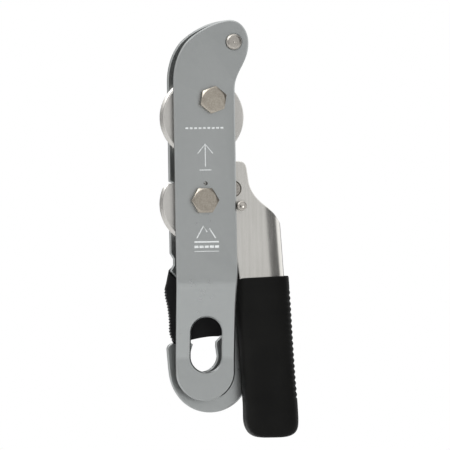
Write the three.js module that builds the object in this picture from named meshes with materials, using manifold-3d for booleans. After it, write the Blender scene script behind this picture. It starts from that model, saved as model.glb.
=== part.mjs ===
// Self-braking rope descender: two side plates, a fixed upper bobbin, and a braking cam
// carried by a squeeze handle. Millimetres, +X right, +Z up. The fixed side plate is at -Y.
// The origin is the centre of the harness eye's lower circle, midway between the side plates.

import * as THREE from 'three';
import { mergeVertices } from 'three/addons/utils/BufferGeometryUtils.js';
import Module from 'manifold-3d';

const wasm = await Module();
wasm.setup();

// ---- driving dimensions ----
const air = 0.3;                      // gap kept between pieces that touch
const degree = Math.PI / 180;

const plateThickness = 3;
const plateInner = 10.5;              // half of the clear width between the side plates
const plateOuter = plateInner + plateThickness;
const plateHalfWidth = 16.4;

const shoulder = [-9.2, 167.4];       // where the head's left side turns over
const headTop = [14, 178.8];
const headRight = [24.2, 166.5];
const neck = [20, 153.2];             // where the neck starts to curve back to the straight side
const neckFoot = 141.5;

const eyeRadius = 8.35;               // obround harness eye of the fixed plate
const eyeHeight = 12.6;
const foot = { at: [-0.45, -8], radius: 15.75 };  // the fixed plate's round foot

const upperAxle = [4.35, 136.4];
const lowerAxle = [-0.85, 83];
const headPinAt = [16.2, 167.1];
const shankRadius = 3.95;             // M8
const boreRadius = shankRadius + air;
const sleeveRadius = 5.5;
const sleeveBore = sleeveRadius + air;
const hexFlats = 13;

const bobbinHalfWidth = 7;
const bobbinRadius = 21.7;
const bobbinCentre = [0.2, 127.3];
const grooveDepth = 5.5;
const camRadius = 21.6;
const camCentre = [-0.7, 81.2];
const camTop = 92.6;                  // the flat on the cam's upper left
const camNoseCentre = [13.5, 92.5];
const camNoseRadius = 9.7;

const flangeInner = bobbinHalfWidth + air;
const flangeOuter = flangeInner + 1.5;
const webTilt = Math.atan(0.06);      // the handle's web leans away from the plates
const webAt43 = 43.1;                 // X of the web's outer face at Z = 43
const gripHalfDepth = plateInner - air;

const camRivetAt = [15.4, 89];
const stopPinAt = [19.3, 79.9];
const springHoleAt = [0, 92.1];
const gateAxle = [-6, 42];
const hookEye = { at: [-0.8, 0.6], radius: 8.85 };
const footArc = { at: [4.1, -8.8], radius: 21.3 };

const headPinShank = 2.75;
const dowelRadius = 2;
const dowelFrom = -plateInner - 1.5;
const dowelAt = [-4, 119];
const stopPinShank = 1.7;
const stopPinRadius = 2.6;
const gateBoss = 7;                   // the plate's round boss behind the gate's rivet
const gateReach = 34.5;               // from the gate's axle to the tip of its plug
const gatePin = 2.4;
const gateSpringRadius = 4.4;

// ---- materials ----
const look = (color, roughness, metalness) => new THREE.MeshStandardMaterial({ color, roughness, metalness });
const anodised = look(0x8f9092, 0.45, 0.9);
const aluminium = look(0xb4b2ae, 0.38, 0.95);
const stainless = look(0xb9b9b7, 0.3, 1);
const zincSteel = look(0x8b857c, 0.42, 0.95);
const blackNylon = look(0x17181a, 0.62, 0);
const blackRubber = look(0x1b1c1e, 0.7, 0);
const springSteel = look(0x9a9a9c, 0.3, 1);

// ---- making and joining solids ----
// Turns a closed geometry into a solid, with its faces out whichever way it was drawn.
function solid(geometry) {
  geometry.deleteAttribute('normal');
  geometry.deleteAttribute('uv');
  const merged = mergeVertices(geometry, 1e-4);
  const place = merged.attributes.position;
  const corners = [];
  let volume = 0;
  for (let i = 0; i < merged.index.count; i += 3) {
    const [a, b, c] = [0, 1, 2].map((k) => merged.index.getX(i + k));
    if (a === b || b === c || c === a) continue;
    const [p, q, r] = [a, b, c].map((k) => new THREE.Vector3().fromBufferAttribute(place, k));
    volume += p.dot(q.cross(r));
    corners.push(a, b, c);
  }
  const triVerts = new Uint32Array(volume < 0 ? corners.reverse() : corners);
  const vertProperties = new Float32Array(place.array);
  return new wasm.Manifold(new wasm.Mesh({ numProp: 3, vertProperties, triVerts }));
}

function geometryOf(body) {
  const mesh = body.getMesh();
  const geometry = new THREE.BufferGeometry();
  geometry.setAttribute('position', new THREE.BufferAttribute(mesh.vertProperties, 3));
  geometry.setIndex(new THREE.BufferAttribute(mesh.triVerts, 1));
  geometry.computeVertexNormals();
  return geometry;
}

// Stands a geometry drawn in X and Y up into X and Z, with its depth along Y.
function upright(geometry, yTo) {
  geometry.rotateX(Math.PI / 2);
  geometry.translate(0, yTo, 0);
  return solid(geometry);
}

function slab(shape, yFrom, yTo, curveSegments = 10) {
  const options = { depth: yTo - yFrom, bevelEnabled: false, curveSegments };
  return upright(new THREE.ExtrudeGeometry(shape, options), yTo);
}

// A slab whose long edges are rounded.
function pillow(shape, yFrom, yTo, edge, steps, curveSegments = 10) {
  const options = {
    depth: yTo - yFrom - 2 * edge,
    bevelThickness: edge,
    bevelSize: edge,
    bevelOffset: -edge,
    bevelSegments: steps,
    curveSegments,
  };
  return upright(new THREE.ExtrudeGeometry(shape, options), yTo - edge);
}

// A solid turned about an axle along Y; the profile lists [radius, y] pairs.
function turned(profile, [x, z] = [0, 0], sides = 24) {
  const points = profile.map(([radius, y]) => new THREE.Vector2(radius, y));
  const geometry = new THREE.LatheGeometry(points, sides);
  geometry.translate(x, 0, z);
  return solid(geometry);
}

function rod(radius, yFrom, yTo, at = [0, 0], sides = 24) {
  return turned([[0, yFrom], [radius, yFrom], [radius, yTo], [0, yTo]], at, sides);
}

function ring(outer, inner, yFrom, yTo, at = [0, 0], sides = 24) {
  const section = [[inner, yFrom], [outer, yFrom], [outer, yTo], [inner, yTo], [inner, yFrom]];
  return turned(section, at, sides);
}

// A hexagonal prism along Y, with both ends' corners chamfered by 30 degrees where asked.
function hexagon(flats, yFrom, yTo, turn, chamferFrom, chamferTo) {
  const corner = flats / Math.sqrt(3);
  const geometry = new THREE.CylinderGeometry(corner, corner, yTo - yFrom, 6);
  geometry.rotateY(turn);
  geometry.translate(0, (yFrom + yTo) / 2, 0);
  const rise = (corner - flats / 2) * Math.tan(30 * degree);
  const near = chamferFrom ? flats / 2 : corner;
  const far = chamferTo ? flats / 2 : corner;
  const cone = turned([
    [0, yFrom], [near, yFrom], [corner, yFrom + rise],
    [corner, yTo - rise], [far, yTo], [0, yTo],
  ]);
  return solid(geometry).intersect(cone);
}

function pathOf(points, start) {
  const shape = start ?? new THREE.Shape();
  points.forEach(([x, z], i) => (i === 0 && !start ? shape.moveTo(x, z) : shape.lineTo(x, z)));
  return shape;
}

const polar = ([x, z], radius, angle) => [x + radius * Math.cos(angle), z + radius * Math.sin(angle)];

// A wire of round section along a curve.
function wire(curve, radius, steps, sides = 6) {
  const section = new THREE.Shape().absarc(0, 0, radius, 0, 2 * Math.PI, false);
  const options = { steps, bevelEnabled: false, extrudePath: curve, curveSegments: sides / 2 };
  return solid(new THREE.ExtrudeGeometry(section, options));
}

// ---- the scene graph: one group for each body that moves on its own ----
const descender = new THREE.Group();
const groups = {};
for (const name of ['fixed_side', 'moving_side', 'gate_side', 'handle_side']) {
  groups[name] = new THREE.Group();
  descender.add(groups[name]);
}

function add(group, name, body, material, [x, z] = [0, 0]) {
  const mesh = new THREE.Mesh(geometryOf(body), material);
  mesh.name = name;
  mesh.position.set(x, 0, z);
  groups[group].add(mesh);
}

// ---- side plates ----
// Both plates share the head: up the left side, over the shoulder, round the nose and down the neck.
function drawHead(shape) {
  shape.lineTo(-plateHalfWidth, 146);
  shape.bezierCurveTo(-plateHalfWidth, 154.5, -13.7, 162.1, ...shoulder);
  shape.bezierCurveTo(-3.9, 173, 6.5, 178.4, ...headTop);
  shape.bezierCurveTo(20.2, headTop[1], headRight[0], 173.2, ...headRight);
  shape.bezierCurveTo(headRight[0], 161.5, 22.2, 157.2, ...neck);
  shape.bezierCurveTo(17.6, 148.8, plateHalfWidth, 145.8, plateHalfWidth, neckFoot);
}

function fixedSidePlate() {
  const [footX, footZ] = foot.at;
  const outline = new THREE.Shape();
  outline.moveTo(footX - foot.radius, footZ);
  outline.lineTo(-plateHalfWidth, 60);
  drawHead(outline);
  outline.lineTo(plateHalfWidth, 48);
  outline.bezierCurveTo(plateHalfWidth, 38, 15.6, 36, 15.5, 24);
  outline.lineTo(footX + foot.radius, footZ);
  outline.absarc(footX, footZ, foot.radius, 0, -Math.PI, true);

  // The sheet's section in Y and Z: flat above, set back by 8 below, with a soft upper bend.
  const setBack = 8;
  const bendTop = 40.5;
  const bendFoot = 35;
  const slopeEnd = -0.5;
  const slope = setBack / (38 - slopeEnd);
  const face = (y) => {
    const soft = new THREE.QuadraticBezierCurve(
      new THREE.Vector2(y, bendTop),
      new THREE.Vector2(y, 38),
      new THREE.Vector2(y + (38 - bendFoot) * slope, bendFoot),
    ).getPoints(5);
    const bend = soft.map((point) => [point.x, point.y]);
    return [[y, 200], ...bend, [y + setBack, slopeEnd], [y + setBack, -60]];
  };
  const section = pathOf([...face(-plateOuter), ...face(-plateInner).reverse()]);
  const sheet = new THREE.ExtrudeGeometry(section, { depth: 80, bevelEnabled: false });
  sheet.rotateX(Math.PI / 2);
  sheet.rotateZ(Math.PI / 2);
  sheet.translate(-40, 0, 0);

  const eye = new THREE.Shape();
  eye.absarc(0, 0, eyeRadius, Math.PI, 2 * Math.PI, false);
  eye.absarc(0, eyeHeight, eyeRadius, 0, Math.PI, false);
  let plate = slab(outline, -plateOuter - 1, 0).intersect(solid(sheet));
  plate = plate.subtract(slab(eye, -plateOuter - 2, 2));
  plate = plate.subtract(rod(boreRadius, -20, 0, upperAxle));
  plate = plate.subtract(rod(boreRadius, -20, 0, lowerAxle));
  plate = plate.subtract(rod(1.15, -20, 0, springHoleAt, 16));
  plate = plate.subtract(rod(headPinShank + air, -20, 0, headPinAt));
  return plate.subtract(rod(dowelRadius + air, dowelFrom - air, 0, dowelAt, 24));
}

add('fixed_side', 'fixed_side_plate', fixedSidePlate(), anodised);

function movingSidePlate() {
  const [footX, footZ] = footArc.at;
  const outline = new THREE.Shape();
  outline.moveTo(-plateHalfWidth, 55);
  drawHead(outline);
  outline.lineTo(plateHalfWidth, 62);
  outline.bezierCurveTo(plateHalfWidth + 0.4, 50, 23.6, 42, 24.2, 28);
  outline.bezierCurveTo(24.8, 14, footX + footArc.radius, 4, footX + footArc.radius, footZ);
  outline.absarc(footX, footZ, footArc.radius, 0, -145 * degree, true);
  outline.bezierCurveTo(-17.2, -15.7, -17.7, -11, -18.1, -6.5);
  outline.lineTo(-18.9, 3.9);
  outline.absarc(-15.7, 3.9, 3.2, Math.PI, 80 * degree, true);
  outline.quadraticCurveTo(-9.5, 6.4, -5.6, 7);
  outline.lineTo(-4.8, 6.3);
  outline.quadraticCurveTo(-5.6, 4.6, -6, 2.4);
  outline.quadraticCurveTo(-8.6, 0.6, ...polar(hookEye.at, hookEye.radius, 190 * degree));
  outline.absarc(...hookEye.at, hookEye.radius, 190 * degree, 356 * degree, false);
  pathOf([[7.3, 5.3], [7.4, 7.6], polar(gateAxle, 34, -54.4 * degree)], outline);
  outline.absarc(...gateAxle, gateBoss, -54.4 * degree, -175 * degree, true);
  pathOf([[-16.5, 45.8], [-14.6, 49], [-14.6, 52]], outline);

  const slot = new THREE.Shape();
  const reach = Math.hypot(upperAxle[0] - lowerAxle[0], upperAxle[1] - lowerAxle[1]);
  const slotStart = Math.atan2(lowerAxle[1] - upperAxle[1], lowerAxle[0] - upperAxle[0]);
  const slotHalf = sleeveRadius + 0.4;
  slot.absarc(...lowerAxle, slotHalf, slotStart, slotStart + Math.PI, false);
  slot.absarc(...upperAxle, reach - slotHalf, slotStart, slotStart - 30 * degree, true);
  slot.absarc(...upperAxle, reach + slotHalf, slotStart - 30 * degree, slotStart, false);

  let plate = slab(outline, plateInner, plateOuter);
  plate = plate.subtract(slab(slot, plateInner - 1, plateOuter + 1));
  plate = plate.subtract(rod(sleeveBore, 0, 20, upperAxle));
  const [gateX, gateZ] = gateAxle;
  plate = plate.subtract(rod(0.75, 0, 20, [gateX + gateSpringRadius, gateZ], 12));
  return plate.subtract(turned([
    [0, plateInner - 1], [gatePin + air + 2.8, plateInner - 1], [gatePin + air, plateInner + 1.8],
    [gatePin + air, plateOuter + 1], [0, plateOuter + 1],
  ], gateAxle, 32));
}

add('moving_side', 'moving_side_plate', movingSidePlate(), anodised);

// ---- axles: an M8 bolt, a sleeve, a washer and a locking nut at each ----
const headHeight = 5;
const boltHead = -plateOuter - air;
const washerFrom = plateOuter + 2 * air;
const washerTo = washerFrom + 1.5;
const nutFrom = washerTo + air;
const nutTo = nutFrom + 8;
const insertFrom = nutTo - 1.9;

function bolt(turn) {
  const shank = turned([
    [0, boltHead - 1], [shankRadius, boltHead - 1], [shankRadius, nutTo + 0.6],
    [shankRadius - 0.8, nutTo + 1.4], [0, nutTo + 1.4],
  ]);
  return hexagon(hexFlats, boltHead - headHeight, boltHead, turn, true, false).add(shank);
}

function lockNut(turn) {
  const blank = hexagon(hexFlats, nutFrom, insertFrom - 0.4, turn, true, true);
  const collar = rod(5.9, insertFrom - 1.5, nutTo);
  const bore = rod(boreRadius, nutFrom - 1, nutTo + 1);
  return blank.add(collar).subtract(bore).subtract(rod(5.3, insertFrom, nutTo + 1));
}

for (const [name, at, turn] of [['upper', upperAxle, 10 * degree], ['lower', lowerAxle, 30 * degree]]) {
  const sleeveFrom = name === 'upper' ? flangeInner : -plateInner + air;
  add('fixed_side', `${name}_bolt`, bolt(turn), zincSteel, at);
  add('fixed_side', `${name}_sleeve`, ring(sleeveRadius, boreRadius, sleeveFrom, plateOuter + air), stainless, at);
  add('fixed_side', `${name}_rear_washer`, ring(8, boreRadius, washerFrom, washerTo), zincSteel, at);
  add('fixed_side', `${name}_nut`, lockNut(turn), zincSteel, at);
  add('fixed_side', `${name}_nut_insert`, ring(5, boreRadius, insertFrom + air, nutTo - air), blackNylon, at);
}

const spacerTo = plateInner - air;
add('fixed_side', 'upper_front_spacer', ring(9, boreRadius, -spacerTo, -flangeInner), stainless, upperAxle);
add('fixed_side', 'upper_rear_spacer', ring(9, sleeveBore, flangeInner, spacerTo), stainless, upperAxle);
const thrust = ring(7.6, sleeveBore, -spacerTo, -flangeOuter - air);
add('fixed_side', 'lower_front_spacer', thrust, stainless, lowerAxle);
const rearThrust = ring(9.5, sleeveBore, flangeOuter + air, spacerTo);
add('fixed_side', 'lower_rear_spacer', rearThrust, stainless, lowerAxle);

// ---- upper bobbin, and the dowel that stops it turning about the off-centre bolt ----
function upperBobbin() {
  const rim = bobbinHalfWidth - 1.2;
  const profile = [[0, -bobbinHalfWidth], [bobbinRadius - 0.5, -bobbinHalfWidth], [bobbinRadius, -rim - 0.7]];
  for (let step = 0; step <= 8; step += 1) {
    const y = rim * (step / 4 - 1);
    profile.push([bobbinRadius - grooveDepth * Math.cos((y / rim) * 90 * degree) ** 0.7, y]);
  }
  profile.push([bobbinRadius, rim + 0.7], [bobbinRadius - 0.5, bobbinHalfWidth], [0, bobbinHalfWidth]);
  const blank = turned(profile, bobbinCentre, 56);
  const bored = blank.subtract(rod(boreRadius, -9, 9, upperAxle));
  return bored.subtract(rod(dowelRadius + air, -9, dowelTo + air, dowelAt, 24));
}

const dowelTo = -2;
add('fixed_side', 'upper_bobbin', upperBobbin(), aluminium);
add('fixed_side', 'bobbin_dowel', rod(dowelRadius, dowelFrom, dowelTo, [0, 0], 24), springSteel, dowelAt);

// ---- head pin: a domed rivet with a wide post between the plates ----
const postTop = plateInner - 0.4;
add('fixed_side', 'head_pin', turned([
  [0, -plateOuter - 1.9], [1.6, -plateOuter - 1.75], [3, -plateOuter - 1.25], [4.15, -plateOuter - air],
  [headPinShank, -plateOuter - air], [headPinShank, -plateInner + air], [4.6, -plateInner + air],
  [4.6, postTop - 0.5], [4.1, postTop], [0, postTop],
]), stainless, headPinAt);

// ---- braking cam ----
// Distance from the lower axle to a circle, along a ray; 0 where the ray misses it.
function rayToCircle([x, z], radius, angle) {
  const along = (x - lowerAxle[0]) * Math.cos(angle) + (z - lowerAxle[1]) * Math.sin(angle);
  const off = (x - lowerAxle[0]) ** 2 + (z - lowerAxle[1]) ** 2 - along ** 2;
  return radius ** 2 < off ? 0 : along + Math.sqrt(radius ** 2 - off);
}

// The cam's outline at a depth below its rim: a round drum with a flat on top and a nose.
function camReach(angle, depth) {
  const drum = rayToCircle(camCentre, camRadius - depth, angle);
  const rise = Math.sin(angle);
  const flat = rise > 0.05 ? (camTop - lowerAxle[1] - 0.2 * depth) / rise : Infinity;
  const nose = rayToCircle(camNoseCentre, camNoseRadius - 0.28 * depth, angle);
  const soft = 12;
  const body = (drum ** -soft + flat ** -soft) ** (-1 / soft);
  return nose > 0 ? (body ** soft + nose ** soft) ** (1 / soft) : body;
}

function brakeCam() {
  const around = 64;
  const rim = bobbinHalfWidth - 1.1;
  const levels = [[-bobbinHalfWidth, 0.4], [-bobbinHalfWidth + 0.4, 0]];
  for (let step = 0; step <= 6; step += 1) {
    const y = rim * (step / 3 - 1);
    levels.push([y, grooveDepth * Math.cos((y / rim) * 90 * degree) ** 0.7]);
  }
  levels.push([bobbinHalfWidth - 0.4, 0], [bobbinHalfWidth, 0.4]);
  const points = [lowerAxle[0], levels[0][0], lowerAxle[1]];
  for (const [y, depth] of levels) {
    for (let i = 0; i < around; i += 1) {
      const [x, z] = polar(lowerAxle, camReach((i / around) * 360 * degree, depth), (i / around) * 360 * degree);
      points.push(x, y, z);
    }
  }
  const last = points.length / 3;
  points.push(lowerAxle[0], levels.at(-1)[0], lowerAxle[1]);
  const faces = [];
  for (let i = 0; i < around; i += 1) {
    const next = (i + 1) % around;
    faces.push(0, 1 + i, 1 + next);
    for (let level = 0; level < levels.length - 1; level += 1) {
      const low = 1 + level * around;
      const high = low + around;
      faces.push(low + i, high + i, high + next, low + i, high + next, low + next);
    }
    const top = 1 + (levels.length - 1) * around;
    faces.push(last, top + next, top + i);
  }
  const geometry = new THREE.BufferGeometry();
  geometry.setAttribute('position', new THREE.Float32BufferAttribute(points, 3));
  geometry.setIndex(faces);
  const blank = solid(geometry);
  return blank.subtract(rod(sleeveBore, -9, 9, lowerAxle)).subtract(rod(rivetShank + air, -9, 9, camRivetAt, 24));
}

const rivetShank = 2.6;
add('handle_side', 'brake_cam', brakeCam(), aluminium);

const rivetHead = 3.9;
add('handle_side', 'cam_rivet', turned([
  [0, -flangeOuter - 0.1], [rivetHead, -flangeOuter - 0.1], [rivetHead, -flangeInner - 0.1],
  [rivetShank, -flangeInner - 0.1], [rivetShank, flangeInner + 0.1], [rivetHead, flangeInner + 0.1],
  [rivetHead, flangeOuter + 0.1], [0, flangeOuter + 0.1],
]), zincSteel, camRivetAt);

// ---- handle: a U-channel of sheet, open at the left, with a full-round web at the right ----
const webX = (z) => webAt43 + (43 - z) * Math.tan(webTilt);
const channelFoot = -38;

// A bar along the web's slant, with an elliptical right side and the given half depth.
function roundedBar(halfDepth, nose, inset) {
  const section = new THREE.Shape();
  section.moveTo(-60, -halfDepth);
  section.lineTo(-nose - inset, -halfDepth);
  section.absellipse(-nose - inset, 0, nose, halfDepth, -Math.PI / 2, Math.PI / 2, false);
  section.lineTo(-60, halfDepth);
  const geometry = new THREE.ExtrudeGeometry(section, { depth: 260, bevelEnabled: false, curveSegments: 10 });
  geometry.translate(0, 0, -130);
  geometry.rotateY(-webTilt);
  geometry.translate(webAt43, 0, 43);
  return solid(geometry);
}

function channelOutline() {
  const [axleX, axleZ] = lowerAxle;
  const shape = new THREE.Shape();
  shape.moveTo(...polar([axleX, axleZ], 13, 200 * degree));
  shape.absarc(axleX, axleZ, 13, 200 * degree, 118 * degree, true);
  shape.quadraticCurveTo(-1.5, 103.8, 5, 103.8);
  shape.lineTo(18.6, 103.7);
  shape.quadraticCurveTo(22.2, 103.5, 22.8, 99.8);
  shape.lineTo(23.6, 94);
  shape.quadraticCurveTo(24.2, 86.5, 31.6, 80.5);
  shape.quadraticCurveTo(37.8, 76, 40.6, 70.5);
  pathOf([[webX(66) + 2, 66], [webX(channelFoot) + 2, channelFoot], [24, channelFoot]], shape);
  pathOf([[22.2, -26], [18.1, 41.7], [16.8, 51.5], [13, 62]], shape);
  shape.quadraticCurveTo(9, 70, -2, 70.4);
  return shape;
}

function handleChannel() {
  const outer = roundedBar(flangeOuter, 10.5, 0);
  const inner = roundedBar(flangeInner, 9, 1.5);
  let channel = slab(channelOutline(), -12, 12).intersect(outer).subtract(inner);
  channel = channel.subtract(rod(sleeveBore, -12, 12, lowerAxle));
  channel = channel.subtract(rod(rivetHead + air, -12, 12, camRivetAt, 32));
  return channel.subtract(rod(stopPinShank + air, -12, 0, stopPinAt, 24));
}

add('handle_side', 'handle_channel', handleChannel(), stainless);
add('handle_side', 'stop_pin', turned([
  [0, -plateOuter - 0.6], [stopPinRadius - 0.4, -plateOuter - 0.6], [stopPinRadius, -plateOuter - 0.2],
  [stopPinRadius, -flangeOuter - air], [stopPinShank, -flangeOuter - air],
  [stopPinShank, -flangeInner - 0.1], [0, -flangeInner - 0.1],
], [0, 0], 32), stainless, stopPinAt);

// ---- grip: moulded over the lower end of the channel, open at the top ----
function handleGrip() {
  const shape = new THREE.Shape();
  shape.moveTo(16.9, 41.3);
  shape.lineTo(45.3, 42.3);
  shape.lineTo(46.2, 28);
  shape.bezierCurveTo(46.9, 8, 48.6, -15, 49.3, -33);
  shape.bezierCurveTo(49.6, -40.5, 47.1, -43.8, 41.2, -43.8);
  shape.lineTo(29.4, -43.8);
  shape.bezierCurveTo(23.9, -43.5, 20.6, -38, 20.6, -26);
  shape.bezierCurveTo(19.5, -8, 17.6, 20, 16.9, 41.3);
  const body = pillow(shape, -gripHalfDepth, gripHalfDepth, 3.4, 4);
  const pocket = roundedBar(flangeOuter + air, 10.8, -air);
  const floor = slab(pathOf([[17, 60], [70, 60], [70, channelFoot - air], [24 - air, channelFoot - air],
    [22.2 - air, -26], [18.1 - air, 41.7]]), -15, 15);
  return body.subtract(pocket.intersect(floor));
}

add('handle_side', 'handle_grip', handleGrip(), blackRubber);

// ---- handle spring: one turn about the lower axle, hooked into the fixed plate ----
class SpringLoop extends THREE.Curve {
  constructor(at, radius, from, sweep, yFrom, yTo) {
    super();
    Object.assign(this, { at, radius, from, sweep, yFrom, yTo });
  }

  getPoint(t, target = new THREE.Vector3()) {
    const [x, z] = polar(this.at, this.radius, this.from + t * this.sweep);
    return target.set(x, this.yFrom + t * (this.yTo - this.yFrom), z);
  }
}

function handleSpring() {
  const y = -(plateInner + flangeOuter) / 2;
  const loop = new SpringLoop(lowerAxle, 8.9, 95 * degree, 250 * degree, y, y).getPoints(28);
  const [hookX, hookZ] = springHoleAt;
  const route = [
    new THREE.Vector3(hookX, -plateOuter + 0.2, hookZ),
    new THREE.Vector3(hookX, -plateInner - 0.6, hookZ),
    ...loop,
    new THREE.Vector3(12.5, y, 79.4),
    new THREE.Vector3(15.4, y, 78.6),
  ];
  return wire(new THREE.CatmullRomCurve3(route), 0.5, 44);
}

add('fixed_side', 'handle_spring', handleSpring(), springSteel);

// ---- gate: a thumb-operated latch that closes the hook of the moving plate ----
const plugFrom = plateInner + 0.1;
const cheekFrom = plateOuter + air;
const cheekTo = cheekFrom + 3;

// The thumb edge from its top to its foot, with saw teeth between.
function thumbEdge() {
  const edge = new THREE.CatmullRomCurve3(
    [[-16.6, 46], [-17.9, 40], [-19.1, 34.5], [-17.7, 26], [-17, 19], [-16.8, 12.3], [-14.6, 6.5]]
      .map(([x, z]) => new THREE.Vector3(x, z, 0)),
  );
  const teeth = 18;
  return edge.getPoints(2 * teeth).map(({ x, y }, i) => [x + (i > 8 && i < 34 && i % 2 ? 0.7 : 0), y]);
}

function gateBody() {
  const cheek = pathOf([...thumbEdge()].reverse());
  cheek.quadraticCurveTo(-12, 51, -6, 50.4);
  cheek.absarc(...gateAxle, 8.4, 90 * degree, -20 * degree, true);
  cheek.lineTo(12.2, 14.5);
  cheek.quadraticCurveTo(12.5, 11, 9.4, 10.4);
  cheek.bezierCurveTo(2, 10.8, -6, 8.6, -14.6, 6.5);
  const plugOutline = pathOf([gateAxle, [gateAxle[0], 0], [-30, 0], [-30, 49.4], [-20, 49.4], [-13.3, 41.1]]);
  const plug = slab(plugOutline, plugFrom, cheekFrom + 1)
    .intersect(slab(cheek, plugFrom, cheekFrom + 1))
    .intersect(ring(gateReach, gateBoss + 0.5, plugFrom, cheekFrom + 1, gateAxle, 90));
  const body = slab(cheek, cheekFrom, cheekTo).add(plug);
  const pocket = ring(gateSpringRadius + 1.1, gatePin + 0.8, cheekFrom - 1, cheekTo - 0.7, gateAxle);
  return body.subtract(rod(gatePin + air, 0, 20, gateAxle)).subtract(pocket);
}

add('gate_side', 'gate', gateBody(), blackNylon);

add('moving_side', 'gate_rivet', turned([
  [0, plateInner + 0.2], [gatePin + 1.5, plateInner + 0.2], [gatePin, plateInner + 1.7],
  [gatePin, cheekTo + air], [4.4, cheekTo + air], [3.8, cheekTo + 1.1], [0, cheekTo + 1.4],
], [0, 0], 32), stainless, gateAxle);

function gateSpring() {
  const coil = new SpringLoop(gateAxle, gateSpringRadius, 0, -660 * degree, cheekFrom + 0.75, cheekTo - 1.25);
  const [x, z] = [gateAxle[0] + gateSpringRadius, gateAxle[1]];
  const route = [
    new THREE.Vector3(x, plateInner + 0.8, z),
    new THREE.Vector3(x, plateOuter - 0.4, z),
    ...coil.getPoints(44),
  ];
  return wire(new THREE.CatmullRomCurve3(route), 0.3, 64);
}

add('moving_side', 'gate_spring', gateSpring(), springSteel);

export default descender;
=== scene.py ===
"""Looks of the rope descender: fine meshes, materials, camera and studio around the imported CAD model."""

import math

import bmesh
import bpy
from mathutils import Matrix, Vector


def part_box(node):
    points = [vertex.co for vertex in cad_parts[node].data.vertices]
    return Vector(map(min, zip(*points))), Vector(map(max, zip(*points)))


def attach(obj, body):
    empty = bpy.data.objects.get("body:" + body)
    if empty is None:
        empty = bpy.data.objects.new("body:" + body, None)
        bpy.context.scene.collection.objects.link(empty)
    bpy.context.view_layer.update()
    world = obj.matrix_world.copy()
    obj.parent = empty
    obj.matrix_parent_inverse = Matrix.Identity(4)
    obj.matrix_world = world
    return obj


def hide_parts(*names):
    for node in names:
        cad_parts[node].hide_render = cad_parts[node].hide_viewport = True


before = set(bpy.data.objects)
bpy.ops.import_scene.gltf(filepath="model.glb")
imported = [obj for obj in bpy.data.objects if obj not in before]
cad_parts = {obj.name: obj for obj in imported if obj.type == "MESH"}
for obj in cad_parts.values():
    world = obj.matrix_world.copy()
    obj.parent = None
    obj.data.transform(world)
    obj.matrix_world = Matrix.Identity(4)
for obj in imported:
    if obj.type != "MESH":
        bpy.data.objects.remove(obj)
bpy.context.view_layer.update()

MM = 0.001
DEG = math.pi / 180
SHARP_ANGLE = 35                        # in degrees
FLAT_AREA, FLAT_JOIN, FLAT_WITHIN = 20 * MM * MM, 0.4 * DEG, 0.6 * DEG

# ---------------------------------------------------------------- sizes, in millimetres


def box_mm(node):
    low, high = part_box(node)
    return low / MM, high / MM


def axle_of(node):
    """The X and Z of a round CAD node's axis."""
    low, high = box_mm(node)
    return (low.x + high.x) / 2, (low.z + high.z) / 2


def span_y(node):
    low, high = box_mm(node)
    return low.y, high.y


PLATE_THICKNESS = 3.0
PLATE_OUTER = span_y("moving_side_plate")[1]
PLATE_INNER = PLATE_OUTER - PLATE_THICKNESS
HALF_WIDTH = -box_mm("fixed_side_plate")[0].x
UPPER = axle_of("upper_rear_washer")
LOWER = axle_of("lower_rear_washer")
HEAD_PIN = axle_of("head_pin")
CAM_RIVET = axle_of("cam_rivet")
STOP_PIN = axle_of("stop_pin")
GATE_AXLE = axle_of("gate_rivet")
BOBBIN = axle_of("upper_bobbin")
DOWEL = axle_of("bobbin_dowel")
SPRING_HOLE, SPRING_HOLE_RADIUS = (0.0, 92.1), 1.15
BOBBIN_RADIUS = (box_mm("upper_bobbin")[1].x - box_mm("upper_bobbin")[0].x) / 2
BOBBIN_HALF = span_y("upper_bobbin")[1]
RIM = BOBBIN_HALF - 1.3
GROOVE = 5.5
BEYOND_BOBBIN = 9
SHANK = 3.95
BORE = 4.25
SLEEVE = 5.5
SLEEVE_BORE = 5.8
HEX_FLATS, HEX_FACE, HEX_CORNER = 13.0, 0.915, 0.985

SHOULDER_FOOT, SHOULDER, HEAD_TOP = 146.0, (-9.2, 167.4), (14.0, 178.8)
HEAD_RIGHT, NECK, NECK_FOOT = (24.2, 166.5), (20.0, 153.2), 141.5
PLATE_EDGE = 0.7
EYE_RADIUS = 8.35
EYE_HEIGHT = 12.6
FOOT, FOOT_RADIUS = (-0.45, -8.0), 15.75
HOOK_FOOT, HOOK_FOOT_RADIUS = (4.1, -8.8), 21.3
HOOK_EYE, HOOK_EYE_RADIUS = (-0.8, 0.6), 8.85
GATE_BOSS = 7.0
GATE_REACH = 34.5
SET_BACK = 8.0
BEND_TOP, BEND_KNEE, BEND_FOOT = 40.5, 38.0, 35.0
SLOPE_END, SLOPE_ROUND = -0.5, 1.2

# ---------------------------------------------------------------- outlines


def polar(centre, radius, angle):
    return centre[0] + radius * math.cos(angle), centre[1] + radius * math.sin(angle)


def arc(centre, radius, start, end, step=4 * DEG):
    count = max(2, math.ceil(abs(end - start) / step))
    return [polar(centre, radius, start + (end - start) * i / count) for i in range(count + 1)]


def circle(centre, radius, count=64):
    return [polar(centre, radius, 2 * math.pi * i / count) for i in range(count)]


def bezier(*points, count=24):
    """A Bezier curve through its first and last points, of any degree."""
    degree = len(points) - 1
    line = []
    for i in range(count + 1):
        t = i / count
        weights = [math.comb(degree, k) * t**k * (1 - t) ** (degree - k) for k in range(degree + 1)]
        line.append(tuple(sum(w * p[axis] for w, p in zip(weights, points)) for axis in (0, 1)))
    return line


def clean(outline):
    """Drops points that repeat the one before."""
    least = 0.02
    kept = []
    for point in outline:
        if not kept or math.dist(point, kept[-1]) > least:
            kept.append(point)
    if math.dist(kept[0], kept[-1]) <= least:
        kept.pop()
    return kept


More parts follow.
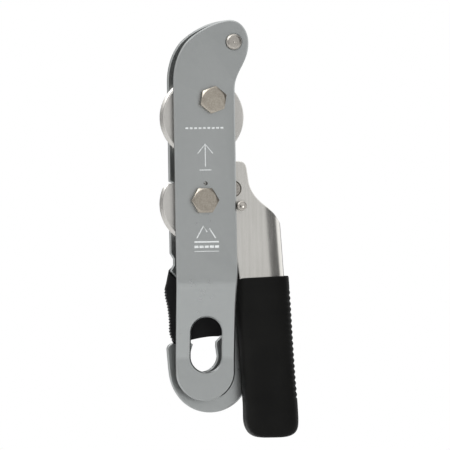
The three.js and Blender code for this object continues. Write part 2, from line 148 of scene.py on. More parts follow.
def head_line():
    """The plates' shared head: left side, shoulder, round nose, neck."""
    w = HALF_WIDTH
    line = bezier((-w, SHOULDER_FOOT), (-w, 154.5), (-13.7, 162.1), SHOULDER)
    line += bezier(SHOULDER, (-3.9, 173), (6.5, 178.4), HEAD_TOP)
    line += bezier(HEAD_TOP, (20.2, HEAD_TOP[1]), (HEAD_RIGHT[0], 173.2), HEAD_RIGHT)
    line += bezier(HEAD_RIGHT, (HEAD_RIGHT[0], 161.5), (22.2, 157.2), NECK)
    line += bezier(NECK, (17.6, 148.8), (w, 145.8), (w, NECK_FOOT))
    return line


# ---------------------------------------------------------------- mesh building


def add_object(name, data):
    made = bpy.data.objects.new(name, data)
    bpy.context.scene.collection.objects.link(made)
    return made


def add_spline(curve, points):
    """Adds a line of straight runs through points of three coordinates."""
    spline = curve.splines.new("POLY")
    spline.points.add(len(points) - 1)
    for spline_point, place in zip(spline.points, points):
        spline_point.co = (*place, 1)
    return spline


def curve_mesh(curve):
    """Turns a curve with its fill and bevel into a bmesh, and drops the curve."""
    holder = add_object(curve.name, curve)
    bpy.context.view_layer.update()
    graph = bpy.context.evaluated_depsgraph_get()
    mesh = bpy.data.meshes.new_from_object(holder.evaluated_get(graph))
    bm = bmesh.new()
    bm.from_mesh(mesh)
    bpy.data.objects.remove(holder)
    bpy.data.curves.remove(curve)
    bpy.data.meshes.remove(mesh)
    bmesh.ops.remove_doubles(bm, verts=bm.verts, dist=1e-3)
    return bm


def skin(bm, rings, capped=True):
    """Joins loops of equal length with four-sided faces, and closes both ends."""
    for low, high in zip(rings, rings[1:]):
        for i in range(len(low)):
            j = (i + 1) % len(low)
            bm.faces.new([low[i], low[j], high[j], high[i]])
    if capped:
        bm.faces.new(rings[0])
        bm.faces.new(rings[-1])


def flat_plate(outlines, y_from, y_to, edge, edge_steps):
    """A plate with bevelled edges, rounded if there are steps; the outlines are its rim and its holes."""
    curve = bpy.data.curves.new("outline", "CURVE")
    curve.dimensions = "2D"
    curve.fill_mode = "BOTH"
    curve.extrude = (y_to - y_from) / 2 - edge
    curve.bevel_depth = edge
    curve.bevel_resolution = edge_steps
    curve.offset = -edge
    for outline in outlines:
        spline = add_spline(curve, [(x, z, 0) for x, z in clean(outline)])
        spline.use_cyclic_u = True
    bm = curve_mesh(curve)
    stand = Matrix.Translation((0, (y_from + y_to) / 2, 0)) @ Matrix.Rotation(math.pi / 2, 4, "X")
    bmesh.ops.transform(bm, matrix=stand, verts=bm.verts)
    return bm


def slice_along(bm, axis, places):
    """Cuts edge loops across the mesh at each place along an axis, so that it can bend there."""
    normal = Vector((0, 0, 0))
    normal[axis] = 1
    for place in places:
        everything = bm.verts[:] + bm.edges[:] + bm.faces[:]
        bmesh.ops.bisect_plane(bm, geom=everything, dist=1e-4, plane_co=normal * place, plane_no=normal)


def soften(profile, radius, closed=False):
    """Rounds each corner of a turned profile; corners on the axle stay."""
    count = len(profile)
    line = []
    for i, corner in enumerate(profile):
        if not closed and i in (0, count - 1):
            line.append(corner)
            continue
        before = Vector(profile[i - 1]) - Vector(corner)
        after = Vector(profile[(i + 1) % count]) - Vector(corner)
        reach = min(radius, before.length * 0.45, after.length * 0.45)
        start = Vector(corner) + before.normalized() * reach
        end = Vector(corner) + after.normalized() * reach
        line += bezier(tuple(start), corner, tuple(end), count=3)
    return line


def turned(profile, at=(0, 0), sides=96, closed=False, bm=None):
    """Turns a profile of (radius, y) about an axle along Y."""
    bm = bm or bmesh.new()
    rings = []
    for radius, y in profile:
        if radius < 1e-6:
            rings.append([bm.verts.new((at[0], y, at[1]))])
            continue
        spots = circle(at, radius, sides)
        rings.append([bm.verts.new((x, y, z)) for x, z in spots])
    pairs = list(zip(rings, rings[1:]))
    if closed:
        pairs.append((rings[-1], rings[0]))
    for low, high in pairs:
        for i in range(sides):
            j = (i + 1) % sides
            corners = [low[i % len(low)], low[j % len(low)], high[j % len(high)], high[i % len(high)]]
            corners = list(dict.fromkeys(corners))
            if len(corners) > 2:
                bm.faces.new(corners)
    return bm


def ring(outer, inner, y_from, y_to, at, edge):
    section = [(inner, y_from), (outer, y_from), (outer, y_to), (inner, y_to)]
    return turned(soften(section, edge, closed=True), at, 96, closed=True)


def tube(path, radius, sides=12):
    """A round wire along a list of points, closed at both ends."""
    curve = bpy.data.curves.new("wire", "CURVE")
    curve.dimensions = "3D"
    curve.bevel_depth = radius
    curve.bevel_resolution = sides // 4
    curve.use_fill_caps = True
    add_spline(curve, path)
    return curve_mesh(curve)


def metre_mesh(name, bm):
    """Turns a bmesh in millimetres into a mesh in metres with its faces outward."""
    bmesh.ops.scale(bm, vec=(MM, MM, MM), verts=bm.verts)
    bmesh.ops.recalc_face_normals(bm, faces=bm.faces)
    mesh = bpy.data.meshes.new(name)
    bm.to_mesh(mesh)
    bm.free()
    return mesh


def add_piece(name, bm, body, material, nodes=(), sharp=SHARP_ANGLE):
    """Turns a bmesh in millimetres into a piece that rides on a body and stands for CAD nodes."""
    mesh = metre_mesh(name, bm)
    for face in mesh.polygons:
        face.use_smooth = True
    mesh.set_sharp_from_angle(angle=sharp * DEG)
    mesh.materials.append(material)
    piece = add_object(name, mesh)
    weighted = piece.modifiers.new("flat_faces", "WEIGHTED_NORMAL")
    weighted.keep_sharp = True
    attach(piece, body)
    if nodes:
        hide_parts(*nodes)
    return piece


def cut_with(piece, cutters):
    """Cuts closed meshes, in millimetres, out of a piece."""
    for bm in cutters:
        cutter = add_object("cutter", metre_mesh("cutter", bm))
        step = piece.modifiers.new("cut", "BOOLEAN")
        step.operation = "DIFFERENCE"
        step.solver = "EXACT"
        step.object = cutter
        piece.modifiers.move(len(piece.modifiers) - 1, 0)
        bpy.context.view_layer.update()
        graph = bpy.context.evaluated_depsgraph_get()
        shown = [(m, m.show_viewport) for m in piece.modifiers if m != step]
        for modifier, _ in shown:
            modifier.show_viewport = False
        bpy.context.view_layer.update()
        made = bpy.data.meshes.new_from_object(piece.evaluated_get(graph))
        piece.modifiers.remove(step)
        for modifier, state in shown:
            modifier.show_viewport = state
        made.set_sharp_from_angle(angle=SHARP_ANGLE * DEG)
        piece.data = made
        bpy.data.objects.remove(cutter)


def drill(at, radius, y_from, y_to, sides=72):
    return turned([(0, y_from), (radius, y_from), (radius, y_to), (0, y_to)], at, sides)


def flatten(piece):
    """Shades a plate's flat faces flat, so that they take no shading from the bevelled rim."""
    bm = bmesh.new()
    bm.from_mesh(piece.data)
    bmesh.ops.dissolve_limit(bm, angle_limit=FLAT_JOIN, verts=bm.verts, edges=bm.edges)
    bm.to_mesh(piece.data)
    bm.free()
    normals = [face.normal.copy() for face in piece.data.polygons if face.area > FLAT_AREA]
    for face in piece.data.polygons:
        if any(face.normal.angle(normal, 1.0) < FLAT_WITHIN for normal in normals):
            face.use_smooth = False


# ---------------------------------------------------------------- materials


class Nodes:
    """A short way to write a node tree."""

    def __init__(self, name):
        self.material = bpy.data.materials.new(name)
        self.material.use_nodes = True
        self.tree = self.material.node_tree
        self.shader = self.tree.nodes["Principled BSDF"]

    def add(self, kind, **settings):
        node = self.tree.nodes.new(kind)
        for key, value in settings.items():
            setattr(node, key, value)
        return node

    def link(self, source, target):
        self.tree.links.new(source, target)

    def place(self, scale):
        """Object coordinates, stretched."""
        coordinates = self.add("ShaderNodeTexCoord")
        mapping = self.add("ShaderNodeMapping")
        mapping.inputs["Scale"].default_value = scale
        self.link(coordinates.outputs["Object"], mapping.inputs["Vector"])
        return mapping.outputs["Vector"]

    def noise(self, scale, detail, stretch=(1, 1, 1)):
        texture = self.add("ShaderNodeTexNoise")
        texture.inputs["Scale"].default_value = scale
        texture.inputs["Detail"].default_value = detail
        texture.inputs["Roughness"].default_value = 0.5
        self.link(self.place(stretch), texture.inputs["Vector"])
        return texture.outputs["Fac"]

    def ramp(self, source, low, high, values):
        """Maps a 0 to 1 source between two values or colours."""
        if isinstance(values[0], (int, float)):
            ramp = self.add("ShaderNodeMapRange")
            ramp.inputs["From Min"].default_value = low
            ramp.inputs["From Max"].default_value = high
            ramp.inputs["To Min"].default_value = values[0]
            ramp.inputs["To Max"].default_value = values[1]
            self.link(source, ramp.inputs["Value"])
            return ramp.outputs["Result"]
        ramp = self.add("ShaderNodeValToRGB")
        ramp.color_ramp.elements[0].position = low
        ramp.color_ramp.elements[1].position = high
        for element, value in zip(ramp.color_ramp.elements, values):
            element.color = (*value, 1)
        self.link(source, ramp.inputs["Fac"])
        return ramp.outputs["Color"]

    def bump(self, layers):
        """Stacks bump layers of (height source, strength, distance in metres)."""
        normal = None
        for height, strength, distance in layers:
            bump = self.add("ShaderNodeBump")
            bump.inputs["Strength"].default_value = strength
            bump.inputs["Distance"].default_value = distance
            self.link(height, bump.inputs["Height"])
            if normal:
                self.link(normal, bump.inputs["Normal"])
            normal = bump.outputs["Normal"]
        self.link(normal, self.shader.inputs["Normal"])


def metal(name, dark, light, roughness, streak=(1, 1, 1), grain=900, bump=0.03, waves=0.05, wear=0.0):
    """Satin metal: two close tones, uneven polish, a grain that can run one way, and brighter worn edges."""
    made = Nodes(name)
    made.shader.inputs["Metallic"].default_value = 1.0
    cloud = made.noise(38, 5)
    fine = made.noise(grain, 3, streak)
    mixed = made.add("ShaderNodeMath", operation="MULTIPLY_ADD")
    made.link(fine, mixed.inputs[0])
    mixed.inputs[1].default_value = 0.55
    half = made.ramp(cloud, 0, 1, (0.0, 0.45))
    made.link(half, mixed.inputs[2])
    colour = made.ramp(mixed.outputs[0], 0.3, 0.7, (dark, light))
    if wear:
        geometry = made.add("ShaderNodeNewGeometry")
        edge = made.ramp(geometry.outputs["Pointiness"], 0.52, 0.6, (0.0, wear))
        blend = made.add("ShaderNodeMix", data_type="RGBA")
        made.link(edge, blend.inputs["Factor"])
        made.link(colour, blend.inputs["A"])
        blend.inputs["B"].default_value = (0.86, 0.86, 0.85, 1)
        colour = blend.outputs["Result"]
    made.link(colour, made.shader.inputs["Base Color"])
    made.link(made.ramp(mixed.outputs[0], 0.25, 0.75, roughness), made.shader.inputs["Roughness"])
    made.bump([(cloud, waves, 2e-4), (fine, bump, 5e-5)])
    return made.material


def moulded(name, dark, light, roughness, bump=0.25, specular=0.12):
    """Moulded black plastic or rubber: fine pebbled skin and a slightly uneven tone."""
    made = Nodes(name)
    made.shader.inputs["Specular IOR Level"].default_value = specular
    cloud = made.noise(60, 4)
    fine = made.noise(2600, 2)
    made.link(made.ramp(cloud, 0.3, 0.7, (dark, light)), made.shader.inputs["Base Color"])
    made.link(made.ramp(fine, 0.3, 0.7, roughness), made.shader.inputs["Roughness"])
    made.bump([(cloud, 0.08, 3e-4), (fine, bump, 6e-5)])
    return made.material


ALONG_Z = (1, 1, 0.03)
ROUND_Y = (1, 0.05, 1)
plate_metal = metal("anodised_plate", (0.272, 0.284, 0.283), (0.284, 0.296, 0.294), (0.27, 0.29), grain=300,
                    bump=0.004, waves=0.004, wear=0.1)
bobbin_metal = metal("bobbin_aluminium", (0.43, 0.42, 0.40), (0.47, 0.46, 0.44), (0.26, 0.32), ROUND_Y,
                     bump=0.01, waves=0.008)
sheet_metal = metal("stainless_sheet", (0.45, 0.44, 0.415), (0.52, 0.51, 0.485), (0.2, 0.3), ALONG_Z, 700)
pin_metal = metal("stainless_pin", (0.3, 0.282, 0.256), (0.4, 0.38, 0.35), (0.26, 0.36), grain=1500,
                  bump=0.05)
bolt_metal = metal("bolt_steel", (0.215, 0.19, 0.16), (0.39, 0.36, 0.31), (0.26, 0.4), grain=1300,
                   bump=0.16)
wire_metal = metal("spring_steel", (0.045, 0.045, 0.045), (0.09, 0.09, 0.09), (0.2, 0.3), grain=1600)
grip_rubber = moulded("black_rubber", (0.003, 0.003, 0.0028), (0.005, 0.005, 0.0046), (0.5, 0.62),
                      specular=0.08)
gate_nylon = moulded("black_nylon", (0.005, 0.005, 0.0055), (0.008, 0.008, 0.0085), (0.42, 0.54))
insert_nylon = moulded("insert_nylon", (0.05, 0.09, 0.16), (0.07, 0.12, 0.2), (0.4, 0.5))
mark_ink = moulded("etched_mark", (0.5, 0.52, 0.52), (0.62, 0.64, 0.64), (0.5, 0.7), bump=0.05)

# ---------------------------------------------------------------- side plates


def plate_set_back(z):
    """How far the fixed plate's sheet lies behind its upper face at a height."""
    slope = SET_BACK / (BEND_KNEE - SLOPE_END)
    if z >= BEND_TOP:
        return 0.0
    if z <= SLOPE_END - SLOPE_ROUND:
        return SET_BACK
    if z <= SLOPE_END + SLOPE_ROUND:
        t = (SLOPE_END + SLOPE_ROUND - z) / (2 * SLOPE_ROUND)
        high = (BEND_KNEE - SLOPE_END - SLOPE_ROUND) * slope
        return high + (SET_BACK - high) * (2 * t - t * t)
    if z <= BEND_FOOT:
        return (BEND_KNEE - z) * slope
    t = (BEND_TOP - z) / (BEND_TOP - BEND_FOOT)
    return t * t * (BEND_KNEE - BEND_FOOT) * slope


def make_fixed_plate():
    rim = [(FOOT[0] - FOOT_RADIUS, FOOT[1]), (-HALF_WIDTH, 60), *head_line(), (HALF_WIDTH, 48)]
    rim += bezier((HALF_WIDTH, 48), (HALF_WIDTH, 38), (15.6, 36), (15.5, 24))
    rim += arc(FOOT, FOOT_RADIUS, 0, -math.pi, 3 * DEG)
    eye = arc((0, 0), EYE_RADIUS, math.pi, 2 * math.pi) + arc((0, EYE_HEIGHT), EYE_RADIUS, 0, math.pi)
    bm = flat_plate([rim, eye], -PLATE_OUTER, -PLATE_INNER, PLATE_EDGE, 0)
    bend_rows = [BEND_TOP - (BEND_TOP - BEND_FOOT) * i / 8 for i in range(9)]
    foot_rows = [SLOPE_END + SLOPE_ROUND - 2 * SLOPE_ROUND * i / 5 for i in range(6)]
    slice_along(bm, 2, bend_rows + foot_rows)
    for vert in bm.verts:
        vert.co.y += plate_set_back(vert.co.z)
    plate = add_piece("side_plate_fixed", bm, "fixed_side", plate_metal,
                      ["fixed_side_plate"])
    bores = ((UPPER, BORE), (LOWER, BORE), (HEAD_PIN, 3.05), (SPRING_HOLE, SPRING_HOLE_RADIUS))
    cutters = [drill(at, radius, -PLATE_OUTER - 1, -PLATE_INNER + 1) for at, radius in bores]
    cut_with(plate, [*cutters, drill(HEAD_PIN, 4.7, -PLATE_OUTER - 1, -PLATE_OUTER + 0.7)])
    flatten(plate)


def moving_outline():
    x, z = HOOK_FOOT
    right = x + HOOK_FOOT_RADIUS
    rim = [(-HALF_WIDTH, 55), *head_line(), (HALF_WIDTH, 62)]
    rim += bezier((HALF_WIDTH, 62), (HALF_WIDTH + 0.4, 50), (23.6, 42), (24.2, 28))
    rim += bezier((24.2, 28), (24.8, 14), (right, 4), (right, z))
    rim += arc(HOOK_FOOT, HOOK_FOOT_RADIUS, 0, -145 * DEG, 3 * DEG)
    rim += bezier(rim[-1], (-17.2, -15.7), (-17.7, -11), (-18.1, -6.5), count=12)
    rim += arc((-15.7, 3.9), 3.2, math.pi, 80 * DEG, 8 * DEG)
    rim += bezier(rim[-1], (-9.5, 6.4), (-5.6, 7), count=10)
    rim += bezier((-4.8, 6.3), (-5.6, 4.6), (-6, 2.4), count=6)
    eye = arc(HOOK_EYE, HOOK_EYE_RADIUS, 190 * DEG, 356 * DEG, 3 * DEG)
    rim += bezier((-6, 2.4), (-8.6, 0.6), eye[0], count=8) + eye
    rim += [(7.3, 5.3), (7.4, 7.6), polar(GATE_AXLE, 34, -54.4 * DEG)]
    rim += arc(GATE_AXLE, GATE_BOSS, -54.4 * DEG, -175 * DEG)
    rim += [(-16.5, 45.8), (-14.6, 49), (-14.6, 52)]
    return rim


def slot_cut(rim):
    """Opens the moving plate's curved slot from the lower axle to its left edge."""
    reach = math.dist(UPPER, LOWER)
    start = math.atan2(LOWER[1] - UPPER[1], LOWER[0] - UPPER[0])
    half = SLEEVE + 0.4
    top, low = reach - half, reach + half
    edge_angle = {}
    for radius in (top, low):
        edge_angle[radius] = -math.pi + math.acos((UPPER[0] + HALF_WIDTH) / radius)
    line = arc(UPPER, low, edge_angle[low], start, 1 * DEG)
    line += arc(LOWER, half, start, start + math.pi, 5 * DEG)
    line += arc(UPPER, top, start, edge_angle[top], 1 * DEG)
    left_top = rim.index((-HALF_WIDTH, SHOULDER_FOOT))
    return rim[:left_top] + line + rim[left_top:]


def make_moving_plate():
    rim = slot_cut(moving_outline())
    bm = flat_plate([rim], PLATE_INNER, PLATE_OUTER, PLATE_EDGE, 0)
    plate = add_piece("side_plate_moving", bm, "moving_side", plate_metal,
                      ["moving_side_plate"])
    bores = ((UPPER, SLEEVE_BORE), (GATE_AXLE, 2.7), ((GATE_AXLE[0] + 4.4, GATE_AXLE[1]), 0.75))
    cut_with(plate, [drill(at, radius, PLATE_INNER - 1, PLATE_OUTER + 1) for at, radius in bores])
    flatten(plate)


make_fixed_plate()
make_moving_plate()

# ---------------------------------------------------------------- bolts, nuts, washers


def hex_radius(angle):
    """The distance from a hexagon's middle to its side, with its corners slightly rounded."""
    sector = (angle % (math.pi / 3)) - math.pi / 6
    return min(HEX_FLATS / 2 / math.cos(sector), HEX_FLATS / math.sqrt(3) * HEX_CORNER)


def hexagon_part(y_from, y_to, turn, at, chamfer_high, bore=0.0):
    """A hexagon along Y with a turned 30-degree chamfer in front; a second one and a bore if asked."""
    bm = bmesh.new()
    sides = 144
    face = HEX_FLATS / 2 * HEX_FACE
    slope = math.tan(30 * DEG)

    def loop(radius_of, y_of):
        spots = []
        for i in range(sides):
            angle = 2 * math.pi * i / sides
            radius = radius_of(angle)
            x, z = polar(at, radius, angle + turn)
            spots.append(bm.verts.new((x, y_of(radius), z)))
        return spots

    rings = []
    inner = bore or 0.01
    bevel = 0.35 if bore else 0.0
    rings.append(loop(lambda a: inner, lambda r: y_from + bevel))
    rings.append(loop(lambda a: inner + bevel, lambda r: y_from))
    rings.append(loop(lambda a: face - 0.25, lambda r: y_from))
    rings.append(loop(lambda a: face + 0.05, lambda r: y_from + 0.06))
    rings.append(loop(lambda a: hex_radius(a) - 0.08, lambda r: y_from + (r - face) * slope))
    rings.append(loop(hex_radius, lambda r: y_from + (r - face) * slope + 0.12))
    if chamfer_high:
        rings.append(loop(hex_radius, lambda r: y_to - (r - face) * slope - 0.12))
        rings.append(loop(lambda a: hex_radius(a) - 0.08, lambda r: y_to - (r - face) * slope))
        rings.append(loop(lambda a: face + 0.05, lambda r: y_to - 0.06))
        rings.append(loop(lambda a: face - 0.25, lambda r: y_to))
    else:
        rings.append(loop(hex_radius, lambda r: y_to - 0.15))
        rings.append(loop(lambda a: hex_radius(a) - 0.15, lambda r: y_to))
    rings.append(loop(lambda a: inner + bevel, lambda r: y_to))
    rings.append(loop(lambda a: inner, lambda r: y_to - bevel))
    skin(bm, [*rings, rings[0]] if bore else rings, capped=not bore)
    return bm


def thread(radius, y_from, y_to, at, bm):
    """A threaded shank end: rings whose ridge climbs one pitch for each turn, and a chamfered tip."""
    pitch, depth, sides = 1.25, 0.55, 48
    rows = math.ceil((y_to - y_from) / (pitch / 8))
    rings = []
    for row in range(rows + 1):
        y = y_from + (y_to - y_from) * row / rows
        loop = []
        for i in range(sides):
            phase = (y / pitch - i / sides) % 1
            ridge = 1 - abs(2 * phase - 1)
            tip = max(0.0, 1.0 - (y_to - y)) * 0.9
            r = radius - max(depth * (1 - min(1, ridge * 1.25)), tip)
            x, z = polar(at, r, 2 * math.pi * i / sides)
            loop.append(bm.verts.new((x, y, z)))
        rings.append(loop)
    skin(bm, rings)


def make_bolt(which, at, turn):
    head_low, tip = span_y(f"{which}_bolt")
    head_high = head_low + 5
    bm = hexagon_part(head_low, head_high, turn, at, False)
    shank = [(0, head_high - 0.2), (SHANK, head_high - 0.2), (SHANK, 12), (0, 12)]
    turned(soften(shank, 0.1), at, 48, bm=bm)
    thread(SHANK, 11.8, tip, at, bm)
    add_piece(f"hex_bolt_{which}", bm, "fixed_side", bolt_metal, [f"{which}_bolt"], 22)


def make_nut(which, at, turn):
    low, high = span_y(f"{which}_nut")
    bm = hexagon_part(low, high - 2.2, turn, at, True, BORE)
    collar = [(5.25, high - 2.4), (6.0, high - 2.4), (6.0, high - 0.9)]
    collar += [(5.5, high), (5.1, high), (5.25, high - 0.6)]
    turned(soften(collar, 0.2, closed=True), at, 96, closed=True, bm=bm)
    add_piece(f"lock_nut_{which}", bm, "fixed_side", bolt_metal, [f"{which}_nut"], 22)
    insert_low, insert_high = span_y(f"{which}_nut_insert")
    insert = ring(4.95, BORE, insert_low, insert_high, at, 0.3)
    add_piece(f"nut_ring_{which}", insert, "fixed_side", insert_nylon, [f"{which}_nut_insert"])


def make_axles():
    for which, at, turn in (("upper", UPPER, 20 * DEG), ("lower", LOWER, 0.0)):
        make_bolt(which, at, turn)
        make_nut(which, at, turn)
    rings = [
        ("upper_rear_washer", 8.0, BORE, bolt_metal, "bolt_steel"),
        ("lower_rear_washer", 8.0, BORE, bolt_metal, "bolt_steel"),
        ("upper_sleeve", SLEEVE, BORE, pin_metal, "stainless_pin"),
        ("lower_sleeve", SLEEVE, BORE, pin_metal, "stainless_pin"),
        ("upper_front_spacer", 9.0, BORE, pin_metal, "stainless_pin"),
        ("upper_rear_spacer", 9.0, SLEEVE_BORE, pin_metal, "stainless_pin"),
        ("lower_front_spacer", 7.6, SLEEVE_BORE, pin_metal, "stainless_pin"),
        ("lower_rear_spacer", 9.5, SLEEVE_BORE, pin_metal, "stainless_pin"),
    ]
    for node, outer, inner, material, slot in rings:
        at = UPPER if node.startswith("upper") else LOWER
        bm = ring(outer, inner, *span_y(node), at, 0.22)
        add_piece(f"turned_{node}", bm, "fixed_side", material, [node])


make_axles()

# ---------------------------------------------------------------- bobbins


def bobbin_levels(rows):
    """A grooved bobbin's surface from one side to the other, as (y, depth below its rim)."""
    half = BOBBIN_HALF
    levels = [(-half, 0.6), (-half + 0.4, 0.12), (-half + 0.75, 0)]
    for i in range(rows + 1):
        y = RIM * (2 * i / rows - 1)
        depth = GROOVE * math.cos(y / RIM * math.pi / 2) ** 0.7 if abs(y) < RIM else 0.0
        levels.append((y, depth))
    return levels + [(half - 0.75, 0), (half - 0.4, 0.12), (half, 0.6)]


def make_upper_bobbin():
    surface = [(BOBBIN_RADIUS - depth, y) for y, depth in bobbin_levels(36)]
    bm = turned([(0, -BOBBIN_HALF), *surface, (0, BOBBIN_HALF)], BOBBIN, 160)
    piece = add_piece("bobbin_fixed", bm, "fixed_side", bobbin_metal, ["upper_bobbin"])
    bore = drill(UPPER, BORE, -BEYOND_BOBBIN, BEYOND_BOBBIN, 64)
    dowel_bore = drill(DOWEL, 2.3, -BEYOND_BOBBIN, -1.7, 48)
    cut_with(piece, [bore, dowel_bore])
    low, high = span_y("bobbin_dowel")
    dowel = turned(soften([(0, low), (2, low), (2, high), (0, high)], 0.4), DOWEL, 64)
    add_piece("dowel_pin", dowel, "fixed_side", wire_metal, ["bobbin_dowel"])


CAM_CENTRE, CAM_RADIUS, CAM_TOP = (-0.7, 81.2), 21.6, 92.6
CAM_NOSE, CAM_NOSE_RADIUS = (13.5, 92.5), 9.7


def ray_to_circle(centre, radius, angle):
    """Distance from the lower axle to a circle along a ray; 0 where the ray misses it."""
    x, z = centre[0] - LOWER[0], centre[1] - LOWER[1]
    along = x * math.cos(angle) + z * math.sin(angle)
    off = x * x + z * z - along * along
    return along + math.sqrt(radius * radius - off) if radius * radius >= off else 0.0


def cam_reach(angle, depth):
    """The cam's outline at a depth below its rim: a drum with a flat on top and a nose."""
    drum = ray_to_circle(CAM_CENTRE, CAM_RADIUS - depth, angle)
    rise = math.sin(angle)
    flat = (CAM_TOP - LOWER[1] - 0.2 * depth) / rise if rise > 0.05 else math.inf
    nose = ray_to_circle(CAM_NOSE, CAM_NOSE_RADIUS - 0.28 * depth, angle)
    soft = 12
    body = (drum**-soft + flat**-soft) ** (-1 / soft)
    return (body**soft + nose**soft) ** (1 / soft) if nose > 0 else body


def make_cam():
    around = 240
    bm = bmesh.new()
    rings = []
    for y, depth in bobbin_levels(32):
        loop = []
        for i in range(around):
            angle = 2 * math.pi * i / around
            x, z = polar(LOWER, cam_reach(angle, depth), angle)
            loop.append(bm.verts.new((x, y, z)))
        rings.append(loop)
    skin(bm, rings)
    piece = add_piece("cam_bobbin", bm, "handle", bobbin_metal, ["brake_cam"], 50)
    axle_bore = drill(LOWER, SLEEVE_BORE, -BEYOND_BOBBIN, BEYOND_BOBBIN)
    rivet_bore = drill(CAM_RIVET, 2.9, -BEYOND_BOBBIN, BEYOND_BOBBIN, 48)
    cut_with(piece, [axle_bore, rivet_bore])


make_upper_bobbin()
make_cam()

# ---------------------------------------------------------------- handle

FLANGE_OUTER = 8.8
SHEET = 1.5
WEB_AT, WEB_TILT = (43.1, 43.0), math.atan(0.06)
WEB_LONG, WEB_DEEP = 10.5, FLANGE_OUTER
MIDDLE_LONG, MIDDLE_DEEP = WEB_LONG - SHEET / 2, WEB_DEEP - SHEET / 2
CHANNEL_FOOT = -38.0
CHANNEL_SIDE = ((18.1, 41.7), (22.2, -26))


def to_web(point):
    """(distance right of the web's outer line, distance up along it)."""
    x, z = point[0] - WEB_AT[0], point[1] - WEB_AT[1]
    return x * math.cos(WEB_TILT) + z * math.sin(WEB_TILT), -x * math.sin(WEB_TILT) + z * math.cos(WEB_TILT)


def from_web(across, up):
    x = across * math.cos(WEB_TILT) - up * math.sin(WEB_TILT)
    z = across * math.sin(WEB_TILT) + up * math.cos(WEB_TILT)
    return WEB_AT[0] + x, WEB_AT[1] + z


def bend_table():
    """Lengths along the web's quarter ellipse, from its middle to the flange, against its angle."""
    count = 90
    table = [0.0]
    for i in range(count):
        a, b = (math.pi / 2 * k / count for k in (i, i + 1))
        across = MIDDLE_LONG * (math.cos(b) - math.cos(a))
        deep = MIDDLE_DEEP * (math.sin(b) - math.sin(a))
        table.append(table[-1] + math.hypot(across, deep))
    return table


BEND = bend_table()


def along_bend(length):
    """The ellipse's angle at a length from the web's middle."""
    for i in range(len(BEND) - 1):
        if BEND[i + 1] >= length:
            part = (length - BEND[i]) / (BEND[i + 1] - BEND[i])
            return math.pi / 2 * (i + part) / (len(BEND) - 1)
    return math.pi / 2


def unrolled(point):
    """A point of the flange's outline in the flat sheet: (length from the web's middle, distance up)."""
    across, up = to_web(point)
    if across <= -WEB_LONG:
        return BEND[-1] - WEB_LONG - across, up
    angle = math.acos(min(1.0, (across + WEB_LONG) / MIDDLE_LONG))
    place = angle / (math.pi / 2) * (len(BEND) - 1)
    low = min(int(place), len(BEND) - 2)
    return BEND[low] + (place - low) * (BEND[low + 1] - BEND[low]), up


def channel_outline():
    """The front flange's outline from the top of the web round to its foot."""
    line = bezier((40.6, 70.5), (37.8, 76), (31.6, 80.5), count=16)
    line += bezier((31.6, 80.5), (24.2, 86.5), (23.6, 94), count=16)
    line += bezier((22.8, 99.8), (22.2, 103.5), (18.6, 103.7), count=8)
    line += [(5, 103.8)]
    line += bezier((5, 103.8), (-1.5, 103.8), polar(LOWER, 13, 118 * DEG), count=12)
    line += arc(LOWER, 13, 118 * DEG, 200 * DEG)
    line += bezier((-2, 70.4), (9, 70), (13, 62), count=12)
    line += [(16.8, 51.5), *CHANNEL_SIDE, (24, CHANNEL_FOOT)]
    return line


def make_channel():
    half = [unrolled(point) for point in channel_outline()]
    top_middle = (0.0, half[0][1] - 2.2)
    foot_middle = (0.0, to_web((WEB_AT[0] + 4, CHANNEL_FOOT))[1])
    front = bezier(top_middle, (1.4, top_middle[1]), half[0], count=6) + half[1:]
    rim = [(-s, up) for s, up in front] + [foot_middle] + [(s, up) for s, up in reversed(front)]
    axle, rivet, pin = (unrolled(point) for point in (LOWER, CAM_RIVET, STOP_PIN))
    holes = [circle((-axle[0], axle[1]), SLEEVE_BORE), circle(axle, SLEEVE_BORE), circle(rivet, 4.0)]
    holes += [circle((-rivet[0], rivet[1]), 4.0), circle((-pin[0], pin[1]), 2.0, 40)]
    bm = flat_plate([rim, *holes], -SHEET / 2, SHEET / 2, 0.45, 0)
    slice_along(bm, 0, [BEND[-1] * i / 16 for i in range(-16, 17)])
    for vert in bm.verts:
        length, up, rise = vert.co.x, vert.co.z, -vert.co.y
        sign = -1 if length < 0 else 1
        if abs(length) >= BEND[-1]:
            across = BEND[-1] - WEB_LONG - abs(length)
            y = sign * (MIDDLE_DEEP + rise)
        else:
            angle = along_bend(abs(length))
            normal = Vector((math.cos(angle) / MIDDLE_LONG, math.sin(angle) / MIDDLE_DEEP)).normalized()
            across = -WEB_LONG + MIDDLE_LONG * math.cos(angle) + rise * normal.x
            y = sign * (MIDDLE_DEEP * math.sin(angle) + rise * normal.y)
        x, z = from_web(across, up)
        vert.co = (x, y, z)
    add_piece("handle_u_channel", bm, "handle", sheet_metal, ["handle_channel"])


